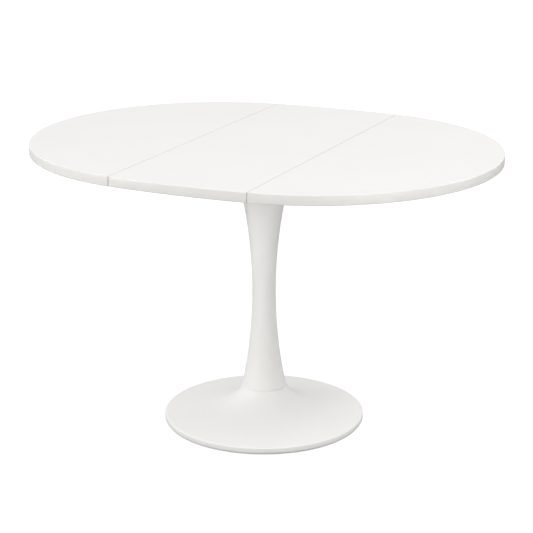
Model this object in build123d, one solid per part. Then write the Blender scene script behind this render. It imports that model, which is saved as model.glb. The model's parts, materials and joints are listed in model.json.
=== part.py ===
import os
from math import sqrt
from build123d import *

# Whole table
table_height = 750
table_length = 1230
panel_thickness = 25
centre_panel_width = 360
leaf_arc_inset = 46
seam_gap = 1.8
panel_edge_round = 2.0

# Foot
foot_radius = 264
foot_rim_height = 22
foot_rim_round = 4
foot_rim_slope = 0.07
foot_slope_radii = (190, 120, 80)
foot_slope_heights = (29.7, 44, 67)
foot_neck_run = 0.4
foot_underside_round = 9
foot_rim_land = 11
foot_wall = 5
foot_deck = 14
foot_boss_radius = 22
foot_boss_bottom = 28
spigot_height = 10
spigot_clearance = 0.6
floor_ring_height = 2
floor_ring_width = 7
floor_ring_inset = 4

# Column
column_joint_height = 94
column_waist_radius = 31.3
column_waist_height = 357
column_curve_radius = 1282
column_wall = 3

# Tie rod that pulls the foot, the column and the top flange together
rod_radius = 6
rod_hole_clearance = 0.5
rod_nut_flats = 18
rod_nut_height = 10
rod_washer_radius = 18
rod_washer_thickness = 2.5
rod_thread_beyond_nut = 1
ballast_radius = 110
ballast_thickness = 12

# Flange, support plate and rails under the middle of the top
flange_thickness = 6
flange_beyond_bolts = 17
flange_bolt_from_column = 4
flange_nut_from_rail = 10
bolt_hole_clearance = 0.2
flange_bolt_radius = 4
flange_bolt_flats = 13
flange_bolt_head = 5.3
flange_nut_height = 6.5
bolt_thread_beyond_nut = 1
plate_length = 300
plate_thickness = 6
plate_beyond_rail = 38
plate_hole_radius = 25
plate_corner_radius = 20
plate_bolt_y = 120
plate_bolt_radius = 3
plate_bolt_flats = 10
plate_bolt_head = 4
rivet_nut_wall = 1.5
rivet_nut_height = 8
rail_inset = 110
rail_width = 30
rail_height = 20
rail_wall = 2
rail_corner_radius = 2
rail_length = 660
rail_screws_from_end = (130, 30)
cap_flange = 3
cap_depth = 12
cap_clearance = 0.2

# Wood screws
screw_radius = 2
screw_head_radius = 4.2
screw_head_height = 2.4
screw_bite = 15
rail_screw_radius = 2.4
rail_screw_head_radius = 5
pilot_extra_depth = 1
pilot_clearance = 0.05
screw_hole_clearance = 0.3

# Clamp hinges that carry the leaves
hinge_row = 250
hinge_drop = 14
eye_radius = 12
bracket_plate = 3
bracket_start = 18
bracket_length = 57
bracket_tip_height = 6
bush_half_length = 5
arm_cheek = 4
fork_cheek = 4
washer_thickness = 1.8
washer_radius = 11
side_play = 0.1
hinge_bolt_radius = 4
hinge_fit = 0.08
hinge_bolt_flats = 13
hinge_bolt_head = 5.3
bush_radius = 8
bracket_screw_count = 3
bracket_screw_margin = 9.5

# Clamp levers
lever_gap = 0.3
lever_hub_radius = 9
lever_hub_length = 15
lever_end_wall = 1.5
lever_bolt_end_gap = 0.5
lever_reach = 58
lever_grip_thickness = 7
lever_grip_set_back = 1
lever_hub_chamfer = 1.2
lever_root_half_width = 6
lever_tip_radius = 5
lever_nut_radius = 6.5
lever_nut_length = 11

# Levels and positions that follow from the sizes above
half_length = table_length / 2
seam_x = centre_panel_width / 2
leaf_arc_radius = half_length - seam_x + leaf_arc_inset
leaf_arc_centre = seam_x - leaf_arc_inset
seam_half_width = sqrt(leaf_arc_radius**2 - leaf_arc_inset**2)
end_arc_radius = leaf_arc_radius * seam_x / leaf_arc_inset
end_arc_centre = seam_half_width - sqrt(end_arc_radius**2 - seam_x**2)
panel_underside = table_height - panel_thickness
plate_top = panel_underside - rail_height
flange_top = plate_top - plate_thickness
column_top = flange_top - flange_thickness
rail_x = seam_x - rail_inset
rail_screw_rows = [rail_length / 2 - gap for gap in rail_screws_from_end]
hinge_z = panel_underside - hinge_drop
arm_outer = bush_half_length + arm_cheek
fork_inner = arm_outer + washer_thickness + 2 * side_play
fork_outer = fork_inner + fork_cheek
lever_start = fork_outer + lever_gap
lever_end = lever_start + lever_hub_length
hinge_bolt_end = lever_end - lever_end_wall - lever_bolt_end_gap

os.makedirs("parts", exist_ok=True)


def save(name, solids):
    shape = solids[0] if len(solids) == 1 else Compound(children=solids)
    export_step(shape, f"parts/{name}.step")


def upright(x, y, bottom, top, radius):
    return Pos(x, y, bottom) * extrude(Circle(radius), amount=top - bottom)


def hexagon(x, y, bottom, top, flats):
    sketch = RegularPolygon(flats / 2, 6, major_radius=False)
    return Pos(x, y, bottom) * extrude(sketch, amount=top - bottom)


def ring(bottom, top, outer, inner):
    return upright(0, 0, bottom, top, outer) - upright(0, 0, bottom, top, inner)


def across(start, end, radius):
    """Cylinder along Y about the hinge axis."""
    return Pos(0, start, 0) * Rot(-90, 0, 0) * extrude(Circle(radius), amount=end - start)


def column_radius(height):
    rise = height - column_waist_height
    return column_waist_radius + column_curve_radius - sqrt(column_curve_radius**2 - rise**2)


def turned(edges):
    return revolve(make_face(edges), Axis.Z, 360)


def point(radius, height):
    return (radius, 0, height)


def chain(corners):
    return [Line(point(*a), point(*b)) for a, b in zip(corners, corners[1:])]


def foot_curve(lowered, start, end):
    """Sweep of the foot from rim to neck, set down by the wall for the hollow side."""
    slope = zip(foot_slope_radii, foot_slope_heights)
    middle = [point(radius, height - lowered) for radius, height in slope]
    return Spline(
        point(*start),
        *middle,
        point(*end),
        tangents=[(-1, 0, foot_rim_slope), (-foot_neck_run, 0, 1)],
    )


def rim_edge(body, height):
    return body.edges().filter_by(GeomType.CIRCLE).filter_by(
        lambda edge: abs(edge.center().Z - height) < 0.01 and edge.radius > foot_radius - 0.1
    )


def base_foot():
    neck = column_radius(column_joint_height)
    spigot = column_radius(column_joint_height + spigot_height) - column_wall - spigot_clearance
    bottom = floor_ring_height
    rim = (foot_radius, foot_rim_height)
    outer = chain([(0, bottom), (foot_radius, bottom), rim])
    outer.append(foot_curve(0, rim, (neck, column_joint_height)))
    outer += chain(
        [
            (neck, column_joint_height),
            (spigot, column_joint_height),
            (spigot, column_joint_height + spigot_height),
            (0, column_joint_height + spigot_height),
            (0, bottom),
        ]
    )
    foot = turned(outer)
    foot = fillet(rim_edge(foot, foot_rim_height), foot_rim_round)
    foot = fillet(rim_edge(foot, bottom), foot_underside_round)
    hollow_rim = foot_radius - foot_underside_round - foot_rim_land
    hollow_top = column_joint_height - foot_deck
    hollow_start = (hollow_rim, foot_rim_height - foot_wall)
    hollow_end = (neck - 0.5 * foot_wall, hollow_top)
    hollow = chain([(0, bottom), (hollow_rim, bottom), hollow_start])
    hollow.append(foot_curve(foot_wall, hollow_start, hollow_end))
    hollow += chain(
        [
            hollow_end,
            (foot_boss_radius, hollow_top),
            (foot_boss_radius, foot_boss_bottom),
            (0, foot_boss_bottom),
            (0, bottom),
        ]
    )
    rod_hole = upright(0, 0, 0, table_height, rod_radius + rod_hole_clearance)
    return foot - turned(hollow) - rod_hole


def column_shell():
    def side(inset):
        return ThreePointArc(
            point(column_radius(column_joint_height) - inset, column_joint_height),
            point(column_waist_radius - inset, column_waist_height),
            point(column_radius(column_top) - inset, column_top),
        )

    outer = side(0)
    inner = side(column_wall)
    foot_edge = Line(outer @ 0, inner @ 0)
    top_edge = Line(outer @ 1, inner @ 1)
    return turned([outer, inner, foot_edge, top_edge])


def save_pedestal():
    save("base_foot", [base_foot()])
    ring_outer = foot_radius - foot_underside_round - floor_ring_inset
    save("base_floor_ring", [ring(0, floor_ring_height, ring_outer, ring_outer - floor_ring_width)])
    hole = rod_radius + rod_hole_clearance
    ballast_bottom = foot_boss_bottom - ballast_thickness
    save("base_ballast", [ring(ballast_bottom, foot_boss_bottom, ballast_radius, hole)])
    save("column_shell", [column_shell()])
    lower_nut_top = ballast_bottom - rod_washer_thickness
    lower_nut_bottom = lower_nut_top - rod_nut_height
    upper_nut_bottom = flange_top + rod_washer_thickness
    upper_nut_top = upper_nut_bottom + rod_nut_height
    rod_bottom = lower_nut_bottom - rod_thread_beyond_nut
    rod_top = upper_nut_top + rod_thread_beyond_nut
    save("tie_rod", [upright(0, 0, rod_bottom, rod_top, rod_radius)])
    bore = upright(0, 0, 0, table_height, rod_radius)
    lower_nut = hexagon(0, 0, lower_nut_bottom, lower_nut_top, rod_nut_flats) - bore
    upper_nut = hexagon(0, 0, upper_nut_bottom, upper_nut_top, rod_nut_flats) - bore
    save("tie_rod_nuts", [lower_nut, upper_nut])
    lower_washer = ring(lower_nut_top, ballast_bottom, rod_washer_radius, hole)
    upper_washer = ring(flange_top, upper_nut_bottom, rod_washer_radius, hole)
    save("tie_rod_washers", [lower_washer, upper_washer])


def corners(x, y):
    return [(sx * x, sy * y) for sx in (-1, 1) for sy in (-1, 1)]


def save_top_support():
    bolt_corner = flange_bolt_flats / sqrt(3)
    bolt_circle = column_radius(column_top) + flange_bolt_from_column + bolt_corner
    bolt_x = rail_x - rail_width / 2 - flange_nut_from_rail - bolt_corner
    bolt_y = sqrt(bolt_circle**2 - bolt_x**2)
    flange_radius = bolt_circle + flange_beyond_bolts
    flange = ring(column_top, flange_top, flange_radius, rod_radius + rod_hole_clearance)
    plate_width = 2 * (rail_x + plate_beyond_rail)
    plate = Pos(0, 0, flange_top) * extrude(
        RectangleRounded(plate_width, plate_length, plate_corner_radius), amount=plate_thickness
    )
    plate -= upright(0, 0, flange_top, plate_top, plate_hole_radius)
    bolts = []
    nuts = []
    for x, y in corners(bolt_x, bolt_y):
        hole = upright(x, y, column_top, plate_top, flange_bolt_radius + bolt_hole_clearance)
        flange -= hole
        plate -= hole
        nut_top = plate_top + flange_nut_height
        shank = upright(x, y, column_top, nut_top + bolt_thread_beyond_nut, flange_bolt_radius)
        bolts.append(hexagon(x, y, column_top - flange_bolt_head, column_top, flange_bolt_flats) + shank)
        nuts.append(hexagon(x, y, plate_top, nut_top, flange_bolt_flats) - shank)
    plate_bolts = []
    rivet_nuts = []
    rail_floor = plate_top + rail_wall
    for x, y in corners(rail_x, plate_bolt_y):
        plate -= upright(x, y, flange_top, plate_top, plate_bolt_radius + bolt_hole_clearance)
        shank = upright(x, y, flange_top, rail_floor + rivet_nut_height, plate_bolt_radius)
        head = hexagon(x, y, flange_top - plate_bolt_head, flange_top, plate_bolt_flats)
        plate_bolts.append(head + shank)
        sleeve = upright(x, y, rail_floor, rail_floor + rivet_nut_height, plate_bolt_radius + rivet_nut_wall)
        rivet_nuts.append(sleeve - shank)
    save("column_top_flange", [flange])
    save("support_plate", [plate])
    save("flange_bolts", bolts)
    save("flange_nuts", nuts)
    save("plate_bolts", plate_bolts)
    save("rail_rivet_nuts", rivet_nuts)


def rail(side):
    section = RectangleRounded(rail_width, rail_height, rail_corner_radius) - Rectangle(
        rail_width - 2 * rail_wall, rail_height - 2 * rail_wall
    )
    middle = plate_top + rail_height / 2
    tube = Pos(side * rail_x, rail_length / 2, middle) * Rot(90, 0, 0) * extrude(section, amount=rail_length)
    for sign in (-1, 1):
        for row in rail_screw_rows:
            hole_radius = rail_screw_radius + screw_hole_clearance
            tube -= upright(side * rail_x, sign * row, plate_top, panel_underside, hole_radius)
        hole_radius = plate_bolt_radius + bolt_hole_clearance
        tube -= upright(side * rail_x, sign * plate_bolt_y, plate_top, plate_top + rail_wall, hole_radius)
    return tube


def rail_cap(side, end):
    middle = plate_top + rail_height / 2
    inner_width = rail_width - 2 * rail_wall - 2 * cap_clearance
    inner_height = rail_height - 2 * rail_wall - 2 * cap_clearance
    flange = extrude(RectangleRounded(rail_width, rail_height, rail_corner_radius), amount=cap_flange)
    plug = extrude(Rectangle(inner_width, inner_height), amount=-cap_depth)
    turn = Rot(-90, 0, 0) if end > 0 else Rot(90, 0, 0)
    return Pos(side * rail_x, end * rail_length / 2, middle) * turn * (flange + plug)


def rail_screw(x, y):
    head = upright(x, y, plate_top - screw_head_height, plate_top, rail_screw_head_radius)
    return head + upright(x, y, plate_top, panel_underside + screw_bite, rail_screw_radius)


def save_rails():
    save("left_rail", [rail(-1)])
    save("right_rail", [rail(1)])
    save("rail_end_caps", [rail_cap(side, end) for side in (-1, 1) for end in (-1, 1)])
    screws = []
    for row in rail_screw_rows:
        screws += [rail_screw(x, y) for x, y in corners(rail_x, row)]
    save("rail_screws", screws)


def hinge_spots(side):
    """Hinge frames on one seam: X outward across the leaf, Z up, origin on the fold axis."""
    turn = Rot(0, 0, 0) if side > 0 else Rot(0, 0, 180)
    return [Pos(side * seam_x, y, hinge_z) * turn for y in (-hinge_row, hinge_row)]


def lever_flip(side, index):
    """Turns the bolt and lever so that the lever faces the nearer end of the table."""
    faces_forward = index == 0
    if side < 0:
        faces_forward = not faces_forward
    return Rot(180, 0, 0) if faces_forward else Rot(0, 0, 0)


def bracket_screw_spots():
    pitch = (bracket_length - 2 * bracket_screw_margin) / (bracket_screw_count - 1)
    return [bracket_start + bracket_screw_margin + pitch * index for index in range(bracket_screw_count)]


def cheek(inner, thickness):
    tip = bracket_start + bracket_length
    outline = Polyline(
        (bracket_start, 0, hinge_drop),
        (tip, 0, hinge_drop),
        (tip, 0, hinge_drop - bracket_tip_height),
        (0, 0, -eye_radius),
        (0, 0, eye_radius),
        (bracket_start, 0, hinge_drop),
    )
    web = Pos(0, inner, 0) * extrude(make_face(outline), amount=thickness, dir=(0, 1, 0))
    return web + across(inner, inner + thickness, eye_radius)


def bracket(inner, thickness, bore):
    width = 2 * (inner + thickness)
    plate = Pos(bracket_start + bracket_length / 2, 0, hinge_drop - bracket_plate / 2) * Box(
        bracket_length, width, bracket_plate
    )
    body = plate + cheek(inner, thickness) + cheek(-inner - thickness, thickness)
    for x in bracket_screw_spots():
        body -= upright(x, 0, 0, hinge_drop, screw_radius + screw_hole_clearance)
    return body - across(-width, width, bore)


def bracket_screw(x):
    seat = hinge_drop - bracket_plate
    head = upright(x, 0, seat - screw_head_height, seat, screw_head_radius)
    return head + upright(x, 0, seat, hinge_drop + screw_bite, screw_radius)


def hinge_arm():
    return bracket(bush_half_length, arm_cheek, hinge_bolt_radius + hinge_fit)


def hinge_fork():
    body = bracket(fork_inner, fork_cheek, hinge_bolt_radius + pilot_clearance)
    return Rot(0, 0, 180) * body


def hinge_bush():
    bore = across(-bush_half_length, bush_half_length, hinge_bolt_radius + hinge_fit)
    return across(-bush_half_length, bush_half_length, bush_radius) - bore


def hinge_washers():
    start = arm_outer + side_play
    washer = across(start, start + washer_thickness, washer_radius)
    washer -= across(start, start + washer_thickness, hinge_bolt_radius + bolt_hole_clearance)
    return [washer, Rot(0, 0, 180) * washer]


def hinge_bolt():
    head = RegularPolygon(hinge_bolt_flats / 2, 6, major_radius=False)
    head_body = Pos(0, -fork_outer, 0) * Rot(90, 0, 0) * extrude(head, amount=hinge_bolt_head)
    return head_body + across(-fork_outer, hinge_bolt_end, hinge_bolt_radius)


def lever_nut():
    end = lever_start + lever_nut_length
    thread = across(lever_start, end, hinge_bolt_radius + hinge_fit)
    return across(lever_start, end, lever_nut_radius) - thread


def clamp_lever():
    tip = -lever_reach + lever_tip_radius
    grip_face = make_hull(
        (Circle(lever_root_half_width) + Pos(tip, 0) * Circle(lever_tip_radius)).edges()
    )
    grip_side = lever_end - lever_grip_set_back
    grip = Pos(0, grip_side, 0) * Rot(90, 0, 0) * extrude(grip_face, amount=lever_grip_thickness)
    hub = across(lever_start, lever_end, lever_hub_radius)
    hub = chamfer(hub.edges().filter_by(GeomType.CIRCLE).sort_by(Axis.Y)[-1], lever_hub_chamfer)
    body = hub + grip
    body -= across(lever_start, lever_start + lever_nut_length, lever_nut_radius)
    return body - across(lever_start, lever_end - lever_end_wall, hinge_bolt_radius + hinge_fit)


def save_hinges():
    fork_screws = []
    bolts = []
    washers = []
    for side, word in ((-1, "left"), (1, "right")):
        spots = hinge_spots(side)
        save(f"{word}_hinge_forks", [spot * hinge_fork() for spot in spots])
        save(f"{word}_hinge_arms", [spot * hinge_arm() for spot in spots])
        save(f"{word}_hinge_bushes", [spot * hinge_bush() for spot in spots])
        arm_screws = []
        for index, spot in enumerate(spots):
            arm_screws += [spot * bracket_screw(x) for x in bracket_screw_spots()]
            fork_screws += [spot * Rot(0, 0, 180) * bracket_screw(x) for x in bracket_screw_spots()]
            washers += [spot * washer for washer in hinge_washers()]
            facing = spot * lever_flip(side, index)
            bolts.append(facing * hinge_bolt())
            place = ("front", "back")[index]
            save(f"{place}_{word}_lever", [facing * clamp_lever()])
            save(f"{place}_{word}_lever_nut", [facing * lever_nut()])
        save(f"{word}_arm_screws", arm_screws)
    save("fork_screws", fork_screws)
    save("hinge_bolts", bolts)
    save("hinge_washers", washers)


def board(edges):
    slab = Pos(0, 0, panel_underside) * extrude(make_face(edges), amount=panel_thickness)
    return fillet(slab.edges().filter_by(GeomType.CIRCLE), panel_edge_round)


def pilot(x, y, radius):
    end = panel_underside + screw_bite + pilot_extra_depth
    return upright(x, y, panel_underside, end, radius + pilot_clearance)


def centre_panel():
    edge_x = seam_x - seam_gap / 2
    edge_y = end_arc_centre + sqrt(end_arc_radius**2 - edge_x**2)
    end_y = end_arc_centre + end_arc_radius
    panel = board(
        [
            Line((edge_x, -edge_y), (edge_x, edge_y)),
            ThreePointArc((edge_x, edge_y), (0, end_y), (-edge_x, edge_y)),
            Line((-edge_x, edge_y), (-edge_x, -edge_y)),
            ThreePointArc((-edge_x, -edge_y), (0, -end_y), (edge_x, -edge_y)),
        ]
    )
    for row in rail_screw_rows:
        for x, y in corners(rail_x, row):
            panel -= pilot(x, y, rail_screw_radius)
    for spot in bracket_screw_spots():
        for x, y in corners(seam_x - spot, hinge_row):
            panel -= pilot(x, y, screw_radius)
    return panel


def leaf(side):
    edge_x = seam_x + seam_gap / 2
    edge_y = sqrt(leaf_arc_radius**2 - (edge_x - leaf_arc_centre) ** 2)
    panel = board(
        [
            Line((side * edge_x, -edge_y), (side * edge_x, edge_y)),
            ThreePointArc((side * edge_x, edge_y), (side * half_length, 0), (side * edge_x, -edge_y)),
        ]
    )
    for spot in bracket_screw_spots():
        for y in (-hinge_row, hinge_row):
            panel -= pilot(side * (seam_x + spot), y, screw_radius)
    return panel


def save_top():
    save("centre_panel", [centre_panel()])
    save("left_leaf", [leaf(-1)])
    save("right_leaf", [leaf(1)])


save_pedestal()
save_top_support()
save_rails()
save_hinges()
save_top()
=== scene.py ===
import json
import bpy
import numpy as np
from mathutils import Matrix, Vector


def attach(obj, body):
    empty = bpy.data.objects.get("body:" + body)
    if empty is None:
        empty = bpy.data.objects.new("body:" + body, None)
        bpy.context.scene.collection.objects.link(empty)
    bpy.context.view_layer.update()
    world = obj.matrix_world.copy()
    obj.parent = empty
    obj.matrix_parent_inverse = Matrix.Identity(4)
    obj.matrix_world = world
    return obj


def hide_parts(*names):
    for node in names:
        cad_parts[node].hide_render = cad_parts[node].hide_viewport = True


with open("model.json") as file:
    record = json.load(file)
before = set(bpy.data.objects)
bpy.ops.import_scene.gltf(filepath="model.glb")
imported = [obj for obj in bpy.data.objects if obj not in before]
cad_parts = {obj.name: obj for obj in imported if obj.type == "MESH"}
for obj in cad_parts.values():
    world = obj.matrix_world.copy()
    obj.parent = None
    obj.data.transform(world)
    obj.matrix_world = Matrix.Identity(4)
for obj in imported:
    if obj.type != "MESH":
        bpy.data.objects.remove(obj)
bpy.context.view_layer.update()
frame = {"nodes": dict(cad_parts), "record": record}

mm = 0.001

# camera at the photo's angle: it stands on the right of the front and looks down at the table
photoCamera = {
    "lens": 111.8, "sensor": 36, "near": 0.05, "far": 60,
    "away": 4.1266, "height": 1.6756, "azimuth": 25.0, "pan": 0.091, "pitch": 16.914,
}


def placeCamera(c):
    turn, pan, pitch = np.radians([c["azimuth"], c["pan"], c["pitch"]])
    data = bpy.data.cameras.new("photoCamera")
    data.lens = c["lens"]
    data.sensor_width = c["sensor"]
    data.clip_start, data.clip_end = c["near"], c["far"]
    camera = bpy.data.objects.new("photoCamera", data)
    camera.location = (c["away"] * np.sin(turn), -c["away"] * np.cos(turn), c["height"])
    camera.rotation_euler = (np.pi / 2 - pitch, 0, turn - pan)
    bpy.context.collection.objects.link(camera)
    bpy.context.scene.camera = camera


placeCamera(photoCamera)
print("camera placed")


# mesh from a grid of points: rows run along the profile, columns run round and close on themselves
# ends="loop" closes the rows too, ends="poles" closes the first and last row on one point each
def addSurface(name, grid, ends):
    rows, cols = grid.shape[:2]
    points = grid.reshape(-1, 3)
    index = np.arange(rows * cols).reshape(rows, cols)
    below = np.roll(index, -1, axis=0) if ends == "loop" else index[1:]
    above = index if ends == "loop" else index[:-1]
    quads = np.stack([above, np.roll(above, -1, 1), np.roll(below, -1, 1), below], -1).reshape(-1, 4)
    fans = np.empty((0, 3), int)
    if ends == "poles":
        tip = len(points)
        points = np.vstack([points, grid[0].mean(0), grid[-1].mean(0)])
        first = np.stack([np.full(cols, tip), np.roll(index[0], -1), index[0]], -1)
        last = np.stack([np.full(cols, tip + 1), index[-1], np.roll(index[-1], -1)], -1)
        fans = np.vstack([first, last])
    triangles = np.vstack([quads[:, [0, 1, 2]], quads[:, [0, 2, 3]], fans])
    a, b, c = (points[triangles[:, k]] for k in range(3))
    if np.einsum("ij,ij->", a, np.cross(b, c)) < 0:  # signed volume below zero means inside out
        quads, fans = quads[:, ::-1], fans[:, ::-1]
    faces = quads.tolist() + fans.tolist()
    mesh = bpy.data.meshes.new(name)
    mesh.from_pydata(points.tolist(), [], faces)
    # the fans are flat faces, and only the quads are shaded smooth
    mesh.polygons.foreach_set("use_smooth", np.arange(len(faces)) < len(quads))
    mesh.update()
    piece = bpy.data.objects.new(name, mesh)
    bpy.context.collection.objects.link(piece)
    return piece


# profile of radius and height turned about the upright axis: x = r cos t, y = r sin t, z = height
def turnProfile(name, profile, steps):
    angle = np.linspace(0, 2 * np.pi, steps, endpoint=False)
    radius, height = profile[:, :1], profile[:, 1:]
    grid = np.stack([radius * np.cos(angle), radius * np.sin(angle), height + 0 * angle], -1)
    return addSurface(name, grid * mm, "loop")


# part of a circle about a centre, from one angle to another in degrees
def arcPoints(centre, radius, start, end, count):
    t = np.radians(np.linspace(start, end, count))
    return np.c_[centre[0] + radius * np.cos(t), centre[1] + radius * np.sin(t)]


# smooth cubic through the knots with given end directions: knot slopes solve the equal-curvature equations
def smoothCurve(knots, startWay, endWay, count):
    knots = np.asarray(knots, float)
    span = np.linalg.norm(np.diff(knots, axis=0), axis=1)
    size = len(knots)
    system = np.eye(size)
    right = np.zeros((size, 2))
    right[0] = np.asarray(startWay) / np.linalg.norm(startWay)
    right[-1] = np.asarray(endWay) / np.linalg.norm(endWay)
    inner = np.arange(1, size - 1)
    system[inner, inner - 1] = 1 / span[:-1]
    system[inner, inner] = 2 / span[:-1] + 2 / span[1:]
    system[inner, inner + 1] = 1 / span[1:]
    rise = np.diff(knots, axis=0) / (span**2)[:, None]
    right[inner] = 3 * (rise[:-1] + rise[1:])
    slope = np.linalg.solve(system, right)
    place = np.concatenate([[0], np.cumsum(span)])
    s = np.linspace(0, place[-1], count)
    k = np.clip(np.searchsorted(place, s, "right") - 1, 0, size - 2)
    h = span[k][:, None]
    u = ((s - place[k]) / span[k])[:, None]
    return (
        (1 + 2 * u) * (1 - u) ** 2 * knots[k]
        + u * (1 - u) ** 2 * h * slope[k]
        + u**2 * (3 - 2 * u) * knots[k + 1]
        + u**2 * (u - 1) * h * slope[k + 1]
    )


column = {
    "joint": 94, "top": 693, "waist": 31.3, "waistHeight": 357, "curve": 1282, "wall": 3, "lip": 1.0,
    "rings": 90, "steps": 192,
}


def columnRadius(height, c=column):
    return c["waist"] + c["curve"] - np.sqrt(c["curve"] ** 2 - (height - c["waistHeight"]) ** 2)


# waisted column: the radius follows one circle arc about the waist, and both ends have a softened lip
def makeColumn(c):
    height = np.linspace(c["joint"] + c["lip"], c["top"] - c["lip"], c["rings"])
    outer = np.c_[columnRadius(height), height]
    inner = np.c_[columnRadius(height) - c["wall"], height][::-1]
    topRadius, jointRadius = columnRadius(c["top"]), columnRadius(c["joint"])
    topEdge = [(topRadius - c["lip"], c["top"]), (topRadius - c["wall"], c["top"])]
    jointEdge = [(jointRadius - c["wall"], c["joint"]), (jointRadius - c["lip"], c["joint"])]
    return turnProfile("columnSkin", np.vstack([outer, topEdge, inner, jointEdge]), c["steps"])


foot = {
    "radius": 264, "bottom": 2, "underRound": 9, "land": 11, "rimHeight": 22, "rimRound": 4, "rimSlope": 0.07,
    "slope": [(190, 29.7), (120, 44), (80, 67)], "neckRun": 0.4, "lip": 1.0,
    "wall": 5, "neckWall": 2.5, "deck": 14, "boss": 22, "bossBottom": 28, "rodHole": 6.5,
    "spigot": 52.9, "spigotHeight": 10,
    "roundSteps": 10, "sweepSteps": 160, "hollowSteps": 60, "steps": 256,
}


# trumpet foot: rounded rim, long shallow sweep, then a neck that leans in to the joint with the column
def makeFoot(f):
    joint, neck = column["joint"], columnRadius(column["joint"])
    edge, rise, under = f["radius"], f["rimRound"], f["underRound"]
    rimWay, neckWay = (-1, f["rimSlope"]), (-f["neckRun"], 1)
    hollowRim = edge - under - f["land"]
    hollowTop, top = joint - f["deck"], joint + f["spigotHeight"]
    land = [(hollowRim, f["bottom"])]
    heel = arcPoints((edge - under, f["bottom"] + under), under, -90, 0, f["roundSteps"])
    # rim circle touches the upright side and the start of the sweep
    rimCentre = f["rimHeight"] + rise * (f["rimSlope"] - np.hypot(1, f["rimSlope"]))
    rimEnd = 90 - np.degrees(np.arctan(f["rimSlope"]))
    roll = arcPoints((edge - rise, rimCentre), rise, 0, rimEnd, f["roundSteps"])
    outside = [(edge, f["rimHeight"]), *f["slope"], (neck, joint)]
    sweep = smoothCurve(outside, rimWay, neckWay, f["sweepSteps"])
    sweep = sweep[(sweep[:, 0] < edge - rise) & (sweep[:, 1] < joint - f["lip"])]
    collar = [(neck - f["lip"], joint), (f["spigot"], joint), (f["spigot"], top)]
    bore = [(f["rodHole"], top), (f["rodHole"], f["bossBottom"])]
    boss = [(f["boss"], f["bossBottom"]), (f["boss"], hollowTop)]
    thinned = [(r, z - f["wall"]) for r, z in f["slope"]]
    inside = [(hollowRim, f["rimHeight"] - f["wall"]), *thinned, (neck - f["neckWall"], hollowTop)]
    hollow = smoothCurve(inside, rimWay, neckWay, f["hollowSteps"])[::-1]
    profile = np.vstack([land, heel, roll, sweep, collar, bore, boss, hollow])
    return turnProfile("footSkin", profile, f["steps"])


# corner is larger than seamRound and margin together, so that the rounding doesn't fold over at a corner
board = {
    "top": 750, "thick": 25, "halfLength": 615, "seam": 180, "gap": 1.8, "inset": 46,
    "edgeRound": 2.0, "seamRound": 0.6, "margin": 0.2, "corner": 1.0, "fade": 9,
    "leafSteps": 220, "endSteps": 80, "cornerSteps": 9, "fadeSteps": 10, "seamSteps": 12, "roundSteps": 6,
}
samePoint = 1e-6


# joins edge runs, each a set of points, outward directions and edge roundings, into one closed path
# where a run starts on the point that the one before it ended on, that point is kept once
def joinRuns(runs):
    points, way, edgeRound = (np.concatenate([run[k] for run in runs]) for k in range(3))
    apart = np.linalg.norm(points - np.roll(points, 1, axis=0), axis=1) > samePoint
    return points[apart], way[apart], edgeRound[apart]


# part circle run seen from its centre, with the edge rounding going evenly from one value to another
def arcRun(centre, radius, start, end, count, fromRound, toRound):
    t = np.linspace(start, end, count)
    way = np.c_[np.cos(t), np.sin(t)]
    return np.asarray(centre) + radius * way, way, np.linspace(fromRound, toRound, count)


# long arc of a board: near each end its edge rounding goes over into the small one of the seam
def fadedArc(b, centre, radius, start, end, count):
    fade = b["fade"] / radius
    r, s = b["edgeRound"], b["seamRound"]
    return [
        arcRun(centre, radius, start, start + fade, b["fadeSteps"], s, r),
        arcRun(centre, radius, start + fade, end - fade, count, r, r),
        arcRun(centre, radius, end - fade, end, b["fadeSteps"], r, s),
    ]


def cornerRun(b, centre, start, end):
    return arcRun(centre, b["corner"], start, end, b["cornerSteps"], b["seamRound"], b["seamRound"])


# seam run: the straight edge needs only a few points between its corners
def seamRun(b, start, end, way):
    u = np.linspace(0, 1, b["seamSteps"])[1:-1, None]
    points = (1 - u) * np.asarray(start) + u * np.asarray(end)
    return points, np.tile(np.asarray(way, float), (len(u), 1)), np.full(len(u), b["seamRound"])


# leaf outline: one large arc and the straight seam, with small corner arcs that touch both
def leafPath(b, side):
    radius = b["halfLength"] - b["seam"] + b["inset"]
    centre = np.array([b["seam"] - b["inset"], 0.0])
    seamX = b["seam"] + b["gap"] / 2
    cornerX = seamX + b["corner"]
    cornerY = np.sqrt((radius - b["corner"]) ** 2 - (cornerX - centre[0]) ** 2)
    turn = np.arctan2(cornerY, cornerX - centre[0])
    points, way, edgeRound = joinRuns([
        *fadedArc(b, centre, radius, -turn, turn, b["leafSteps"]),
        cornerRun(b, (cornerX, cornerY), turn, np.pi),
        seamRun(b, (seamX, cornerY), (seamX, -cornerY), (-1, 0)),
        cornerRun(b, (cornerX, -cornerY), np.pi, 2 * np.pi - turn),
    ])
    return side * points, side * way, edgeRound  # the left leaf is the right one turned half round


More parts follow.
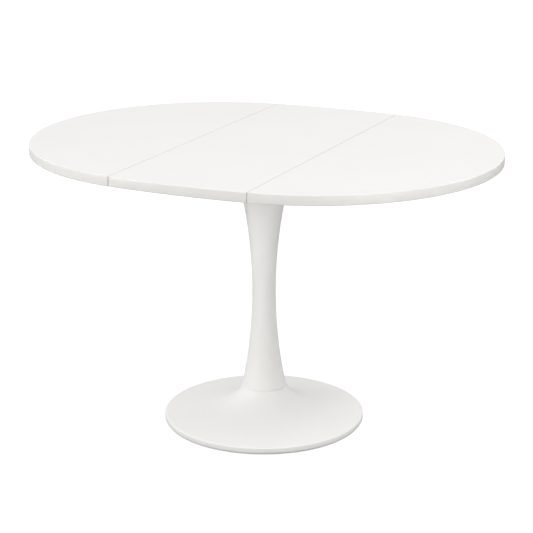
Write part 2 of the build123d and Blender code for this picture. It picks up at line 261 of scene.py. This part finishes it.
# centre outline: two bowed ends that run on into the leaf arcs, and two seams
def centrePath(b):
    leafRadius = b["halfLength"] - b["seam"] + b["inset"]
    radius = leafRadius * b["seam"] / b["inset"]
    base = np.sqrt(leafRadius**2 - b["inset"] ** 2) - np.sqrt(radius**2 - b["seam"] ** 2)
    seamX = b["seam"] - b["gap"] / 2
    cornerX = seamX - b["corner"]
    cornerY = base + np.sqrt((radius - b["corner"]) ** 2 - cornerX**2)
    turn = np.arctan2(cornerY - base, cornerX)
    points, way, edgeRound = joinRuns([
        seamRun(b, (seamX, -cornerY), (seamX, cornerY), (1, 0)),
        cornerRun(b, (cornerX, cornerY), 0, turn),
        *fadedArc(b, (0, base), radius, turn, np.pi - turn, b["endSteps"]),
        cornerRun(b, (-cornerX, cornerY), np.pi - turn, np.pi),
    ])
    return np.vstack([points, -points]), np.vstack([way, -way]), np.concatenate([edgeRound, edgeRound])


# board: at each path point the edge profile goes in by (1 - cos) and down by (1 - sin) of its rounding
def makeBoard(name, path, b):
    points, way, edgeRound = path
    a = np.linspace(np.pi / 2, 0, b["roundSteps"])
    goIn = np.vstack([edgeRound + b["margin"], (1 - np.cos(a))[:, None] * edgeRound])
    goDown = np.vstack([0 * edgeRound, (1 - np.sin(a))[:, None] * edgeRound])
    rings = points[None] - goIn[:, :, None] * way[None]
    upper = np.dstack([rings, b["top"] - goDown])
    lower = np.dstack([rings, b["top"] - b["thick"] + goDown])[::-1]
    piece = addSurface(name, np.concatenate([upper, lower]) * mm, "poles")
    # mask for the sides: nothing on the top and bottom faces, rising to one over the rounding, where the
    # lacquer takes a painted light tint
    band = np.concatenate([[0], np.linspace(0, 1, b["roundSteps"])])
    mask = np.repeat(np.concatenate([band, band[::-1]]), len(points))
    edgeCastAndSideLightMask = piece.data.attributes.new("edgeCastAndSideLightMask", "FLOAT", "POINT")
    edgeCastAndSideLightMask.data.foreach_set("value", np.concatenate([mask, [0, 0]]))
    return piece


# each piece with the node it stands in for, its body and its slot
middle, left, right = centrePath(board), leafPath(board, -1), leafPath(board, 1)
visible = {
    "columnSkin": (makeColumn(column), "column_shell", "pedestal", "white_enamel"),
    "footSkin": (makeFoot(foot), "base_foot", "pedestal", "white_enamel"),
    "centreBoard": (makeBoard("centreBoard", middle, board), "centre_panel", "pedestal", "white_lacquer"),
    "leftBoard": (makeBoard("leftBoard", left, board), "left_leaf", "left_leaf", "white_lacquer"),
    "rightBoard": (makeBoard("rightBoard", right, board), "right_leaf", "right_leaf", "white_lacquer"),
}
for piece, node, body, slotName in visible.values():
    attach(piece, body)
    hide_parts(node)
print("pieces:", ", ".join(visible))


def newTree(name):
    material = bpy.data.materials.new(name)
    material.use_nodes = True
    tree = material.node_tree
    return material, tree, tree.nodes["Principled BSDF"]


def addNode(tree, kind, **inputs):
    node = tree.nodes.new(kind)
    for key, value in inputs.items():
        node.inputs[key.replace("_", " ")].default_value = value
    return node


# colour mix: gives its factor, its two colours and its result
def addMix(tree, blend):
    node = tree.nodes.new("ShaderNodeMix")
    node.data_type, node.blend_type = "RGBA", blend
    sockets = {socket.identifier: socket for socket in [*node.inputs, *node.outputs]}
    return [sockets[key] for key in ("Factor_Float", "A_Color", "B_Color", "Result_Color")]


# shared group: named inputs with their starting values, and the three results that every finish has
def newGroup(name, inputs):
    group = bpy.data.node_groups.new(name, "ShaderNodeTree")
    kinds = {1: "NodeSocketFloat", 3: "NodeSocketVector", 4: "NodeSocketColor"}
    addSocket = group.interface.new_socket
    for key, value in inputs.items():
        addSocket(name=key, in_out="INPUT", socket_type=kinds[np.size(value)]).default_value = value
    for key, size in (("Color", 4), ("Roughness", 1), ("Height", 1)):
        addSocket(name=key, in_out="OUTPUT", socket_type=kinds[size])
    given, put = group.nodes.new("NodeGroupInput"), group.nodes.new("NodeGroupOutput")
    place = group.nodes.new("ShaderNodeTexCoord").outputs["Object"]
    return group, given, put, place


# spray finish: slow drift of tone and gloss, and a fine orange peel, all from Object coordinates
def buildSprayFinish():
    group, given, put, place = newGroup("sprayFinish", {
        "Tone": (0.9, 0.9, 0.88, 1), "Shade": (0.85, 0.85, 0.83, 1), "Drift Scale": 3.0, "Peel Scale": 380.0,
        "Gloss Low": 0.3, "Gloss High": 0.42})
    link = group.links.new
    drift = addNode(group, "ShaderNodeTexNoise", Detail=3.0, Roughness=0.55)
    peel = addNode(group, "ShaderNodeTexNoise", Detail=1.5, Roughness=0.45)
    for texture, scale in ((drift, "Drift Scale"), (peel, "Peel Scale")):
        link(place, texture.inputs["Vector"])
        link(given.outputs[scale], texture.inputs["Scale"])
    factor, first, second, colour = addMix(group, "MIX")
    link(drift.outputs["Fac"], factor)
    link(given.outputs["Tone"], first)
    link(given.outputs["Shade"], second)
    gloss = addNode(group, "ShaderNodeMapRange", From_Min=0.3, From_Max=0.7)
    link(drift.outputs["Fac"], gloss.inputs["Value"])
    link(given.outputs["Gloss Low"], gloss.inputs["To Min"])
    link(given.outputs["Gloss High"], gloss.inputs["To Max"])
    link(colour, put.inputs["Color"])
    link(gloss.outputs["Result"], put.inputs["Roughness"])
    link(peel.outputs["Fac"], put.inputs["Height"])
    return group


# worked metal or moulded grain: speckle that can be drawn out along one axis, in patches
def buildGrain():
    group, given, put, place = newGroup("surfaceGrain", {
        "Light": (0.7, 0.7, 0.7, 1), "Dark": (0.5, 0.5, 0.5, 1), "Speckle Scale": 220.0, "Draw Out": (1, 1, 1),
        "Rough Low": 0.3, "Rough High": 0.5})
    link = group.links.new
    stretch = group.nodes.new("ShaderNodeVectorMath")
    stretch.operation = "MULTIPLY"
    link(place, stretch.inputs[0])
    link(given.outputs["Draw Out"], stretch.inputs[1])
    speckle = addNode(group, "ShaderNodeTexNoise", Detail=4.0, Roughness=0.6)
    link(stretch.outputs["Vector"], speckle.inputs["Vector"])
    link(given.outputs["Speckle Scale"], speckle.inputs["Scale"])
    patch = addNode(group, "ShaderNodeTexNoise", Scale=28.0, Detail=2.0)
    link(place, patch.inputs["Vector"])
    blend = group.nodes.new("ShaderNodeMath")
    blend.operation = "MULTIPLY"
    link(speckle.outputs["Fac"], blend.inputs[0])
    link(patch.outputs["Fac"], blend.inputs[1])
    spread = addNode(group, "ShaderNodeMapRange", From_Min=0.12, From_Max=0.4)
    link(blend.outputs["Value"], spread.inputs["Value"])
    factor, first, second, colour = addMix(group, "MIX")
    link(spread.outputs["Result"], factor)
    link(given.outputs["Dark"], first)
    link(given.outputs["Light"], second)
    rough = group.nodes.new("ShaderNodeMapRange")
    link(speckle.outputs["Fac"], rough.inputs["Value"])
    link(given.outputs["Rough Low"], rough.inputs["To Min"])
    link(given.outputs["Rough High"], rough.inputs["To Max"])
    link(colour, put.inputs["Color"])
    link(rough.outputs["Result"], put.inputs["Roughness"])
    link(speckle.outputs["Fac"], put.inputs["Height"])
    return group


# puts a shared group into a material and leads its three results to the shader
def dressMaterial(name, group, values, bumpDepth, **constants):
    material, tree, shader = newTree(name)
    use = tree.nodes.new("ShaderNodeGroup")
    use.node_tree = group
    for key, value in values.items():
        use.inputs[key].default_value = value
    bump = addNode(tree, "ShaderNodeBump", Strength=1.0, Distance=bumpDepth)
    tree.links.new(use.outputs["Color"], shader.inputs["Base Color"])
    tree.links.new(use.outputs["Roughness"], shader.inputs["Roughness"])
    tree.links.new(use.outputs["Height"], bump.inputs["Height"])
    tree.links.new(bump.outputs["Normal"], shader.inputs["Normal"])
    for key, value in constants.items():
        shader.inputs[key.replace("_", " ")].default_value = value
    return material


# sides of the boards: the lacquer's colour times a tint where the mask is one, painted light that makes the
# sides brighter, together with the edge's own slightly warmer cast
def paintSideLightAndCast(material, tint):
    tree = material.node_tree
    shader = tree.nodes["Principled BSDF"]
    lacquer = shader.inputs["Base Color"].links[0].from_socket
    mask = tree.nodes.new("ShaderNodeAttribute")
    mask.attribute_name = "edgeCastAndSideLightMask"
    factor, first, second, colour = addMix(tree, "MULTIPLY")
    second.default_value = tint
    tree.links.new(mask.outputs["Fac"], factor)
    tree.links.new(lacquer, first)
    tree.links.new(colour, shader.inputs["Base Color"])


sprayFinish, surfaceGrain = buildSprayFinish(), buildGrain()
# tint above one: painted light that brightens the board sides, with a slightly warmer cast that is the edge's
# own colour
sideLightAndCastTint = (1.05, 1.044, 1.02, 1)
finishes = {
    "white_lacquer": dressMaterial("boardLacquer", sprayFinish, {
        "Tone": (0.72, 0.713, 0.7, 1), "Shade": (0.7, 0.693, 0.68, 1), "Drift Scale": 3.2, "Peel Scale": 420.0,
        "Gloss Low": 0.34, "Gloss High": 0.44}, bumpDepth=0.00004, Specular_IOR_Level=0.4),
    "white_enamel": dressMaterial("pedestalEnamel", sprayFinish, {
        "Tone": (0.92, 0.912, 0.892, 1), "Shade": (0.904, 0.896, 0.876, 1), "Drift Scale": 6.0,
        "Peel Scale": 300.0, "Gloss Low": 0.36, "Gloss High": 0.44}, bumpDepth=0.00006, Specular_IOR_Level=0.5),
    "grey_powder_coat": dressMaterial("powderCoat", surfaceGrain, {
        "Light": (0.66, 0.66, 0.64, 1), "Dark": (0.56, 0.56, 0.545, 1), "Speckle Scale": 900.0,
        "Rough Low": 0.5, "Rough High": 0.7}, bumpDepth=0.00012),
    "zinc_steel": dressMaterial("zincPlate", surfaceGrain, {
        "Light": (0.72, 0.73, 0.74, 1), "Dark": (0.5, 0.51, 0.53, 1), "Speckle Scale": 240.0,
        "Draw Out": (1, 1, 6), "Rough Low": 0.26, "Rough High": 0.46}, bumpDepth=0.00003, Metallic=1.0),
    "raw_iron": dressMaterial("castDisc", surfaceGrain, {
        "Light": (0.13, 0.13, 0.135, 1), "Dark": (0.06, 0.06, 0.065, 1), "Speckle Scale": 320.0,
        "Rough Low": 0.6, "Rough High": 0.85}, bumpDepth=0.0004),
    "soft_rubber": dressMaterial("ringRubber", surfaceGrain, {
        "Light": (0.42, 0.42, 0.41, 1), "Dark": (0.3, 0.3, 0.295, 1), "Speckle Scale": 500.0,
        "Rough Low": 0.7, "Rough High": 0.9}, bumpDepth=0.0001),
    "black_plastic": dressMaterial("leverPlastic", surfaceGrain, {
        "Light": (0.055, 0.055, 0.06, 1), "Dark": (0.03, 0.03, 0.033, 1), "Speckle Scale": 1400.0,
        "Rough Low": 0.42, "Rough High": 0.6}, bumpDepth=0.00008),
    "bronze_bush": dressMaterial("turnedBronze", surfaceGrain, {
        "Light": (0.66, 0.49, 0.24, 1), "Dark": (0.45, 0.32, 0.15, 1), "Speckle Scale": 300.0,
        "Draw Out": (1, 8, 1), "Rough Low": 0.28, "Rough High": 0.45}, bumpDepth=0.00003, Metallic=1.0),
}
paintSideLightAndCast(finishes["white_lacquer"], sideLightAndCastTint)

for piece, node, body, slotName in visible.values():
    piece.data.materials.clear()
    piece.data.materials.append(finishes[slotName])
# the CAD nodes that stay in sight take the finish of their slot
for part in frame["record"]["subparts"]:
    shown = frame["nodes"][part["node"]]
    for holder in shown.material_slots:
        holder.material = finishes[part["material_slot"]]
print("finishes:", len(finishes))


# pale floor: it is lit as any floor, and the camera sees it with a little extra light, as on a lit backdrop
floorLook = {
    "size": 16.0, "lines": 3, "tone": (0.3, 0.3, 0.298, 1), "glow": 0.9, "glowTone": (1, 1, 1, 1),
    "cloudScale": 1.4, "roughLow": 0.85, "roughHigh": 0.95, "shine": 0.1,
}


def makeFloor(f):
    u = np.linspace(-f["size"], f["size"], f["lines"])
    x, y = np.meshgrid(u, u, indexing="ij")
    points = np.stack([x, y, 0 * x], -1).reshape(-1, 3)
    index = np.arange(len(points)).reshape(x.shape)
    faces = np.stack([index[:-1, :-1], index[1:, :-1], index[1:, 1:], index[:-1, 1:]], -1).reshape(-1, 4)
    mesh = bpy.data.meshes.new("floor")
    mesh.from_pydata(points.tolist(), [], faces.tolist())
    floor = bpy.data.objects.new("floor", mesh)
    bpy.context.collection.objects.link(floor)
    material, tree, shader = newTree("paleFloor")
    noise = addNode(tree, "ShaderNodeTexNoise", Scale=f["cloudScale"], Detail=2.0)
    tree.links.new(tree.nodes.new("ShaderNodeTexCoord").outputs["Object"], noise.inputs["Vector"])
    rough = addNode(tree, "ShaderNodeMapRange", To_Min=f["roughLow"], To_Max=f["roughHigh"])
    tree.links.new(noise.outputs["Fac"], rough.inputs["Value"])
    tree.links.new(rough.outputs["Result"], shader.inputs["Roughness"])
    seen = tree.nodes.new("ShaderNodeLightPath")
    glow = tree.nodes.new("ShaderNodeMath")
    glow.operation = "MULTIPLY"
    glow.inputs[1].default_value = f["glow"]
    tree.links.new(seen.outputs["Is Camera Ray"], glow.inputs[0])
    tree.links.new(glow.outputs["Value"], shader.inputs["Emission Strength"])
    shader.inputs["Base Color"].default_value = f["tone"]
    shader.inputs["Specular IOR Level"].default_value = f["shine"]
    shader.inputs["Emission Color"].default_value = f["glowTone"]
    mesh.materials.append(material)


makeFloor(floorLook)

# sky and soft boxes: each box has its place, the point it faces, its width, its power and how far it spreads
studio = {
    "sky": 0.98,
    "skyTone": (1, 1, 1, 1),
    "backdrop": 1.05,
    "openSpread": 180,
    "boxes": {
        "leftBox": {"at": (-2.9, -0.4, 1.5), "aim": (0, 0, 0.5), "size": 1.4, "power": 5.0},
        "leftHighBox": {"at": (-2.6, -0.8, 3.2), "aim": (0, 0, 0.7), "size": 1.4, "power": 3.4},
        "leftFrontBox": {"at": (-1.8, -2.5, 1.3), "aim": (0, 0, 0.4), "size": 0.9, "power": 19.6},
        "leftBeam": {"at": (-1.6, -2.6, 0.62), "aim": (0, 0, 0.64), "size": 0.7, "power": 0.155, "spread": 16},
        "rightBeam": {"at": (2.6, -1.9, 0.62), "aim": (0, 0, 0.64), "size": 0.7, "power": 0.25, "spread": 16},
        "rightLowBox": {"at": (2.6, -1.9, 0.6), "aim": (0, 0, 0.3), "size": 1.0, "power": 2.65},
        "rightHighBox": {"at": (2.2, -0.6, 3.4), "aim": (0, 0, 0.7), "size": 1.4, "power": 34.4},
    },
}


def lightStudio(s):
    world = bpy.data.worlds.new("studioSky")
    world.use_nodes = True
    tree = world.node_tree
    sky = tree.nodes["Background"]
    sky.inputs["Color"].default_value = s["skyTone"]
    # the camera sees the backdrop's white, while the table is lit by the softer sky
    seen = tree.nodes.new("ShaderNodeLightPath")
    strength = addNode(tree, "ShaderNodeMapRange", To_Min=s["sky"], To_Max=s["backdrop"])
    tree.links.new(seen.outputs["Is Camera Ray"], strength.inputs["Value"])
    tree.links.new(strength.outputs["Result"], sky.inputs["Strength"])
    bpy.context.scene.world = world
    for name, box in s["boxes"].items():
        data = bpy.data.lights.new(name, "AREA")
        data.shape = "DISK"
        data.size = box["size"]
        data.energy = box["power"]
        data.spread = np.radians(box.get("spread", s["openSpread"]))
        lamp = bpy.data.objects.new(name, data)
        lamp.location = box["at"]
        lamp.rotation_mode = "QUATERNION"
        lamp.rotation_quaternion = (Vector(box["aim"]) - Vector(box["at"])).to_track_quat("-Z", "Y")
        lamp.visible_camera = False
        bpy.context.collection.objects.link(lamp)
    view = bpy.context.scene.view_settings
    view.view_transform, view.look, view.exposure = "Standard", "None", 0.0


lightStudio(studio)
print("studio lit")
